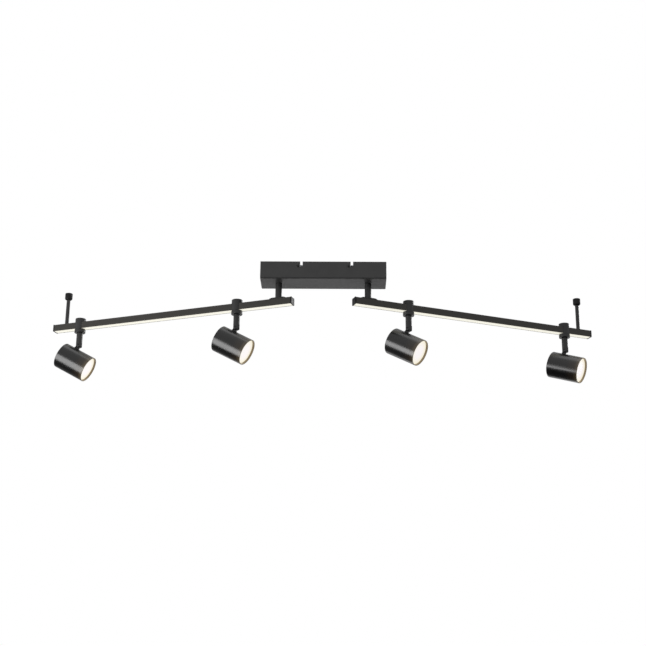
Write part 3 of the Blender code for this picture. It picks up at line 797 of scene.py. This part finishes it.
def make_stem(side, paint, metal):
    """The turned stem, with a threaded spigot inside the canopy, and its chamfered hexagon nut."""
    node = f"stem_{side}"
    arm = arm_frame(side)
    low, high = extent(node, arm)
    radius = high.x
    shoulder = extent("canopy_cover")[0].z - GAP
    saddle_top = extent(f"saddle_{side}", arm)[1].z + GAP
    edge = 0.6 * MM
    thread = 0.35 * MM
    profile = [(STEM_BORE_RADIUS, high.z), (SPIGOT_RADIUS - edge, high.z)]
    pitch = 1 * MM
    height = high.z - edge
    while height > shoulder + 2 * MM:
        profile += [(SPIGOT_RADIUS, height), (SPIGOT_RADIUS - thread, height - thread)]
        height -= pitch
    profile += [(SPIGOT_RADIUS, shoulder + 1.6 * MM), (SPIGOT_RADIUS, shoulder)]
    step = 0.1 * MM
    top = [(SPIGOT_RADIUS + step, shoulder), (radius, shoulder), (radius, saddle_top + 3 * MM)]
    bottom = [(radius, saddle_top + 2 * MM), (radius, saddle_top), (STEM_FOOT_RADIUS + step, saddle_top)]
    profile += rounded(top, edge) + rounded(bottom, edge)
    profile += [(STEM_FOOT_RADIUS, saddle_top), (STEM_FOOT_RADIUS, low.z), (STEM_BORE_RADIUS, low.z)]
    stem = new_object(f"turned_stem_{side}", turned(profile, 72), arm)
    smooth(stem, 24)
    finish_piece(stem, node, paint)

    node = f"stem_nut_{side}"
    low, high = extent(node, arm)
    flat = 7 * MM
    corner = flat / math.cos(math.radians(30))
    bore = SPIGOT_RADIUS + GAP
    chamfer = 0.6 * MM
    steps = 5
    slope = [(i / steps * (corner - flat), i / steps * chamfer) for i in range(steps + 1)]

    def hexagon(r, _height, angle):
        return min(r, flat / math.cos(angle % math.radians(60) - math.radians(30)))

    profile = [(bore + chamfer, low.z)] + [(flat + wider, low.z + rise) for wider, rise in slope]
    profile += [(flat + wider, high.z - rise) for wider, rise in reversed(slope)]
    profile += [(bore + chamfer, high.z), (bore, high.z - chamfer), (bore, low.z + chamfer)]
    nut = new_object(f"hex_nut_{side}", turned(profile, 96, ripple=hexagon), arm)
    smooth(nut, 25)
    finish_piece(nut, node, metal)


def make_saddle(side, paint):
    """The cast plate that spreads the stem's load on the bar, with eased ramps."""
    node = f"saddle_{side}"
    arm = arm_frame(side)
    low, high = extent(node, arm)
    ramp = 4.5 * MM
    lip = 0.6 * MM
    outline = [(low.x, low.z, 0), (high.x, low.z, 0), (high.x, low.z + lip, 0.2 * MM)]
    outline += [(high.x - ramp, high.z, 3 * MM), (low.x + ramp, high.z, 3 * MM)]
    outline += [(low.x, low.z + lip, 0.2 * MM)]
    path = rounded(outline, 0, 6, True)
    saddle = new_object(f"cast_saddle_{side}", extruded(path, low.y, high.y, "XZ"), arm)
    combine(saddle, drum(STEM_FOOT_RADIUS + GAP, low.z - CLEAR, high.z + CLEAR))
    soften(saddle, 0.35 * MM, 3, 40)
    finish_piece(saddle, node, paint)


def make_bar(side, metal):
    """The extruded profile, with crisp but rounded corners, a groove above and a channel below."""
    node = f"light_bar_{side}"
    arm = arm_frame(side)
    low, high = extent(node, arm)
    groove = GROOVE_WIDTH / 2
    channel = high.y - BAR_WALL
    lip = 0.25 * MM
    outline = [(groove, high.z - GROOVE_DEPTH, 0), (groove, high.z, lip)]
    outline += [(high.y, high.z, BAR_CORNER), (high.y, low.z, BAR_CORNER)]
    outline += [(channel + BAR_WALL / 2, low.z, 0), (channel, low.z + BAR_WALL / 2, 0)]
    outline += [(channel, low.z + CHANNEL_DEPTH, 0)]
    outline += [(-y, z, radius) for y, z, radius in reversed(outline)]
    shape = extruded(rounded(outline, 0, 5, True), low.x, high.x, "YZ")
    bar = new_object(f"extruded_bar_{side}", shape, arm)
    combine(bar, drum(STEM_BORE_RADIUS, low.z + CHANNEL_DEPTH - CLEAR, high.z + CLEAR, 32))
    smooth(bar)
    finish_piece(bar, node, metal)


def make_rail(side, plastic, copper):
    """The insulating carrier in the bar's groove, and its two conductor strips."""
    node = f"conductor_rail_{side}"
    arm = arm_frame(side)
    low, high = extent(node, arm)
    track = 0.25 * MM
    inner = 1 * MM
    top = high.z - track
    floor = low.z + 0.6 * MM
    wall = 0.4 * MM
    outline = [(low.y, low.z), (high.y, low.z), (high.y, high.z), (high.y - wall, high.z)]
    outline += [(high.y - wall, top), (inner, top), (inner, floor)]
    outline += [(-inner, floor), (-inner, top), (low.y + wall, top), (low.y + wall, high.z)]
    outline += [(low.y, high.z)]
    carrier = new_object(f"rail_carrier_{side}", extruded(outline, low.x, high.x, "YZ"), arm)
    soften(carrier, 0.05 * MM, 1)
    finish_piece(carrier, node, plastic)
    strips = bmesh.new()
    margin = 0.1 * MM
    near = inner + margin
    far = high.y - wall - margin
    shoulder = high.z - 0.06 * MM
    setback = 1 * MM
    for sign in (-1, 1):
        section = [(near, top), (far, top), (far, shoulder), (far - margin, high.z)]
        section += [(near + margin, high.z), (near, shoulder)]
        section = [(sign * y, z) for y, z in section]
        add_shape(strips, extruded(section, low.x + setback, high.x - setback, "YZ"), (0, 0, 0))
    tracks = new_object(f"rail_tracks_{side}", strips, arm)
    finish_piece(tracks, node, copper)


def make_light_strip(side, glow, board):
    """The opal strip, with a step on each side that snaps into the channel."""
    node = f"bar_diffuser_{side}"
    arm = arm_frame(side)
    low, high = extent(node, arm)
    step = 0.5 * MM
    step_top = high.z - 0.6 * MM
    step_foot = high.z - 0.9 * MM
    upper = 0.2 * MM
    lower = 0.3 * MM
    outline = [(low.y + step, high.z, upper), (high.y - step, high.z, upper)]
    outline += [(high.y - step, step_top, 0), (high.y, step_foot, 0)]
    outline += [(high.y, low.z, lower), (low.y, low.z, lower)]
    outline += [(low.y, step_foot, 0), (low.y + step, step_top, 0)]
    shape = extruded(rounded(outline, 0, 4, True), low.x, high.x, "YZ")
    strip = new_object(f"opal_strip_{side}", shape, arm)
    smooth(strip)
    finish_piece(strip, node, glow)
    carry(f"led_strip_{side}", board)


def make_cap(side, place, plastic):
    """An end cap with rounded edges and a shallow panel in its outer face."""
    node = f"bar_cap_{side}_{place}"
    arm = arm_frame(side)
    low, high = extent(node, arm)
    out = 1 if place == "outer" else -1
    edge = 0.9 * MM
    shape = block(low, high)
    bmesh.ops.bevel(shape, geom=shape.edges[:], offset=edge, segments=4, profile=0.5, affect="EDGES")
    cap = new_object(f"end_cap_{side}_{place}", shape, arm)
    face = low.x if out < 0 else high.x
    inset = 2.6 * MM
    depth = 0.2 * MM
    panel_low = (face - depth, low.y + inset, low.z + inset)
    panel_high = (face + depth, high.y - inset, high.z - inset)
    combine(cap, block(panel_low, panel_high))
    soften(cap, 0.08 * MM, 1, 50)
    finish_piece(cap, node, plastic)


def make_support(side, paint, plastic):
    """The rod down from the ceiling, and its fluted screw-on foot."""
    arm = arm_frame(side)
    node = f"support_rod_{side}"
    low, high = extent(node, arm)
    middle = (low + high) / 2
    axis = arm @ Matrix.Translation((middle.x, middle.y, 0))
    foot_low, foot_high = extent(f"support_foot_{side}", axis)
    bar_top = extent(f"light_bar_{side}", arm)[1].z + GAP
    radius = (high.x - low.x) / 2
    tenon = 3.1 * MM
    edge = 0.4 * MM
    shoulder = foot_low.z - GAP
    profile = [(0, low.z), (tenon, low.z), (tenon, bar_top)]
    reach = 3 * MM
    step = tenon + 0.1 * MM
    profile += rounded([(step, bar_top), (radius, bar_top), (radius, bar_top + reach)], edge)
    profile += rounded([(radius, shoulder - reach), (radius, shoulder), (step, shoulder)], edge)
    profile += [(tenon, shoulder), (tenon, high.z), (0, high.z)]
    rod = new_object(f"round_rod_{side}", turned(profile, 48), axis)
    smooth(rod, 24)
    finish_piece(rod, node, paint)

    node = f"support_foot_{side}"
    radius = foot_high.x
    hole = tenon + GAP
    flute_low = foot_low.z + 2.4 * MM
    flute_high = foot_high.z - 2.0 * MM
    flute_depth = 0.28 * MM

    def flute(r, height, angle):
        if not flute_low < height < flute_high:
            return r
        return r - flute_depth * (0.5 - 0.5 * math.cos(FLUTES * angle))

    outline = [(0, foot_high.z), (radius, foot_high.z, 0.8 * MM), (radius, foot_low.z + 2 * MM, 1.2 * MM)]
    outline += [(radius - 2 * MM, foot_low.z, 0.5 * MM), (hole, foot_low.z, 0.2 * MM)]
    outline += [(hole, high.z + GAP, 0), (0, high.z + GAP)]
    profile = []
    for point in rounded(outline, 0, 5):
        if profile and profile[-1][1] > flute_high > point[1] and point[0] > radius - 0.01 * MM:
            profile += [(radius, flute_high), (radius, flute_high - 0.3 * MM)]
            profile += [(radius, flute_low + 0.3 * MM), (radius, flute_low)]
        profile.append(point)
    foot = new_object(f"fluted_foot_{side}", turned(profile, FLUTES * 6, ripple=flute), axis)
    smooth(foot)
    finish_piece(foot, node, plastic)


# ---------------------------------------------------------------- heads

CLAMP_RADIUS = 11 * MM
NECK_RADIUS = 3 * MM
COLLAR_RADIUS = 4.2 * MM
COLLAR_LOW = 3 * MM  # above the clamp's lowest face
COLLAR_HIGH = 5.5 * MM
FORK_WIDTH = 4.6 * MM
FORK_TOP = 5.3 * MM  # above the tilt pin
PIN_RADIUS = 1.5 * MM
HEAD_WALL = 1.6 * MM
REAR_WALL = 2.5 * MM
LUG_THICKNESS = 4 * MM
LUG_RADIUS = 4.5 * MM
LUG_BASE_HALF = 7 * MM


def make_clamp(head, paint, copper):
    """The cylinder that rides on the bar: a deep channel, a shadow line and a slightly wider base."""
    node = f"clamp_{head}"
    matrix = clamp_frame(head)
    side = head.split("_")[0]
    low, high = extent(node, matrix)
    bar_low, bar_high = extent(f"light_bar_{side}", matrix)
    base = high.x
    base_top = bar_low.z - 1.5 * MM
    edge = 0.8 * MM
    line = 0.5 * MM
    outline = [(0, high.z), (CLAMP_RADIUS, high.z, edge), (CLAMP_RADIUS, base_top + line, 0.1 * MM)]
    outline += [(CLAMP_RADIUS - line, base_top + line, 0), (CLAMP_RADIUS - line, base_top, 0)]
    outline += [(base, base_top, 0.3 * MM), (base, low.z, edge), (NECK_RADIUS + GAP, low.z, 0.2 * MM)]
    outline += [(NECK_RADIUS + GAP, low.z + COLLAR_LOW, 0), (COLLAR_RADIUS + GAP, low.z + COLLAR_LOW, 0)]
    outline += [(COLLAR_RADIUS + GAP, low.z + COLLAR_HIGH, 0), (0, low.z + COLLAR_HIGH)]
    clamp = new_object(f"bar_clamp_{head}", turned(rounded(outline, 0, 5), 96), matrix)
    reach = 2 * base
    half = bar_high.y + GAP
    combine(clamp, block((-reach, -half, bar_low.z - GAP), (reach, half, bar_high.z + GAP)))
    shoe = extent(f"contact_shoe_{head}", matrix)[1]
    pocket = (shoe.x + GAP, shoe.y + GAP, shoe.z + GAP)
    combine(clamp, block((-pocket[0], -pocket[1], bar_high.z - CLEAR), pocket))
    smooth(clamp, 28)
    finish_piece(clamp, node, paint)
    carry(f"contact_shoe_{head}", copper)


def make_pan_stem(head, paint, metal):
    """The stem that turns in the clamp, its fork, and the slotted pin across it."""
    node = f"pan_stem_{head}"
    matrix = pan_frame(head)
    low, high = extent(node, matrix)
    clamp_low = extent(f"clamp_{head}", matrix)[0].z
    radius = high.x
    top = clamp_low - GAP
    collar_low = clamp_low + COLLAR_LOW + GAP
    outline = [(0, high.z), (COLLAR_RADIUS, high.z, 0.2 * MM), (COLLAR_RADIUS, collar_low, 0.2 * MM)]
    outline += [(NECK_RADIUS, collar_low, 0), (NECK_RADIUS, top, 0), (radius, top, 0.6 * MM)]
    outline += [(radius, low.z, 1.8 * MM), (0, low.z)]
    stem = new_object(f"forked_stem_{head}", turned(rounded(outline, 0, 6), 72), matrix)
    reach = radius + CLEAR
    half = FORK_WIDTH / 2
    combine(stem, block((-reach, -half, low.z - CLEAR), (reach, half, FORK_TOP)))
    combine(stem, drum(PIN_RADIUS + GAP, -reach, reach, 32, "Y"))
    smooth(stem, 28)
    finish_piece(stem, node, paint)

    node = f"tilt_pin_{head}"
    low, high = extent(node, matrix)
    edge = 0.3 * MM
    outline = [(0, low.y), (PIN_RADIUS, low.y, edge), (PIN_RADIUS, high.y, edge), (0, high.y)]
    pin = new_object(f"slotted_pin_{head}", turned(rounded(outline, 0, 3), 32, "Y"), matrix)
    depth = 0.6 * MM
    half = 0.25 * MM
    reach = 2 * MM
    turn = 0.5
    for end in (low.y, high.y):
        slot = block((-reach, end - depth, -half), (reach, end + depth, half))
        combine(pin, slot, place=Matrix.Rotation(turn, 4, "Y"))
    smooth(pin)
    finish_piece(pin, node, metal)


def make_housing(head, coat):
    """The turned can: a rounded back with a joint line, a thin lip in front, and the lug for the pin."""
    node = f"head_housing_{head}"
    matrix = head_frame(head)
    low, high = extent(node, matrix)
    radius = high.y
    axis_z = low.z + radius
    floor = low.x + REAR_WALL
    inner = radius - HEAD_WALL
    joint = radius - 6 * MM
    line = 0.35 * MM
    outline = [(0, low.x), (joint - line, low.x, 0.1 * MM), (joint - line, low.x + line, 0)]
    outline += [(joint, low.x + line, 0), (joint, low.x, 0.1 * MM), (radius, low.x, 1.1 * MM)]
    outline += [(radius, high.x, 0.4 * MM), (inner, high.x, 0.5 * MM), (inner, floor, 0), (0, floor)]
    axis = Matrix.Translation((0, 0, axis_z))
    shape = turned(rounded(outline, 0, 6), 144, "X")
    bmesh.ops.transform(shape, matrix=axis, verts=shape.verts)
    housing = new_object(f"spot_housing_{head}", shape, matrix)
    root = axis_z + radius - 0.9 * MM
    waist = root + 3 * MM
    outline = [(LUG_BASE_HALF, root), (LUG_BASE_HALF - 1.6 * MM, root + 1.4 * MM), (LUG_RADIUS, waist)]
    mirrored = [(-x, z) for x, z in reversed(outline)]
    outline += arc((0, 0), LUG_RADIUS, 0, 180, 24) + mirrored
    combine(housing, extruded(outline, -LUG_THICKNESS / 2, LUG_THICKNESS / 2, "XZ"), "UNION")
    combine(housing, drum(PIN_RADIUS + GAP, -LUG_THICKNESS, LUG_THICKNESS, 32, "Y"))
    smooth(housing, 28)
    finish_piece(housing, node, coat)


def make_disc(head, glow, metal):
    """The opal disc, very slightly domed, with a rounded edge."""
    node = f"head_diffuser_{head}"
    matrix = head_frame(head)
    low, high = extent(node, matrix)
    axis_z = (low.z + high.z) / 2
    radius = high.y
    dome = 0.35 * MM
    rim = 1.2 * MM
    profile = [(0, low.x), (radius, low.x)]
    shoulder = high.x - dome
    profile += rounded([(radius, low.x + 0.5 * MM), (radius, shoulder), (radius - rim, shoulder)], rim)
    steps = 10
    for i in range(1, steps + 1):
        share = 1 - i / steps
        profile.append(((radius - rim) * share, high.x - dome * share**2))
    axis = matrix @ Matrix.Translation((0, 0, axis_z))
    disc = new_object(f"opal_disc_{head}", turned(profile, 96, "X"), axis)
    smooth(disc)
    finish_piece(disc, node, glow)
    carry(f"led_module_{head}", metal)


def carry(node, material):
    """Keeps a CAD node as it is, and gives it a finished material."""
    data = NODES[node].data
    data.materials.clear()
    data.materials.append(material)


# ---------------------------------------------------------------- the whole fixture


def main():
    make_camera()
    make_light()
    make_floor()
    canopy_paint = powder_coat("canopy_powder_coat", 0.053, 0.42)
    arm_paint = powder_coat("arm_powder_coat", 0.032, 0.36)
    screw_paint = powder_coat("screw_black_zinc", 0.02, 0.30)
    low, high = extent("head_housing_left_outer", head_frame("left_outer"))
    head_paint = head_coat("head_satin_black_painted_glow", low.z + high.y, high.x, high.y - HEAD_WALL)
    bar_metal = anodised("black_anodised_bar")
    black_plastic = moulded("black_moulding", 0.010, 0.5, specular=0.3)
    white_plastic = moulded("white_moulding", 0.78, 0.42, (1, 1, 0.98))
    sleeve = moulded("lead_sleeve_pvc", 0.72, 0.5, (1, 0.99, 0.96))
    steel = zinc("zinc_plated_steel")
    copper = bare_metal("copper_strip", (0.86, 0.50, 0.32), 0.28)
    aluminium = bare_metal("turned_aluminium", (0.80, 0.81, 0.82), 0.34)
    board = circuit("white_circuit_board")
    warm = (1.0, 0.955, 0.80)
    across_bar = (0, 1, 0)
    across_disc = (0, 1, 1)
    bar_glow = opal("lit_opal_strip", 0.75, (1.0, 0.985, 0.85), warm, across_bar, 2 * MM, 6.5 * MM)
    pink = (1.0, 0.95, 0.95)
    cream = (1.0, 0.94, 0.74)
    disc_glow = opal("lit_opal_disc", 0.82, pink, cream, across_disc, 12 * MM, 25 * MM)

    make_cover(canopy_paint)
    for face in ("front", "rear"):
        for side in SIDES:
            make_cover_screw(f"{face}_{side}", screw_paint)
    refined("folded_bracket", "ceiling_bracket", 0.2 * MM, steel)
    make_driver(white_plastic, steel)
    make_terminal_block(white_plastic, steel)
    for side in SIDES:
        make_lead(side, sleeve)
        make_stem(side, arm_paint, steel)
        make_saddle(side, arm_paint)
        make_bar(side, bar_metal)
        make_rail(side, black_plastic, copper)
        make_light_strip(side, bar_glow, board)
        make_cap(side, "inner", black_plastic)
        make_cap(side, "outer", black_plastic)
        make_support(side, arm_paint, black_plastic)
    for head in HEADS:
        make_clamp(head, arm_paint, copper)
        make_pan_stem(head, arm_paint, screw_paint)
        make_housing(head, head_paint)
        make_disc(head, disc_glow, aluminium)


main()
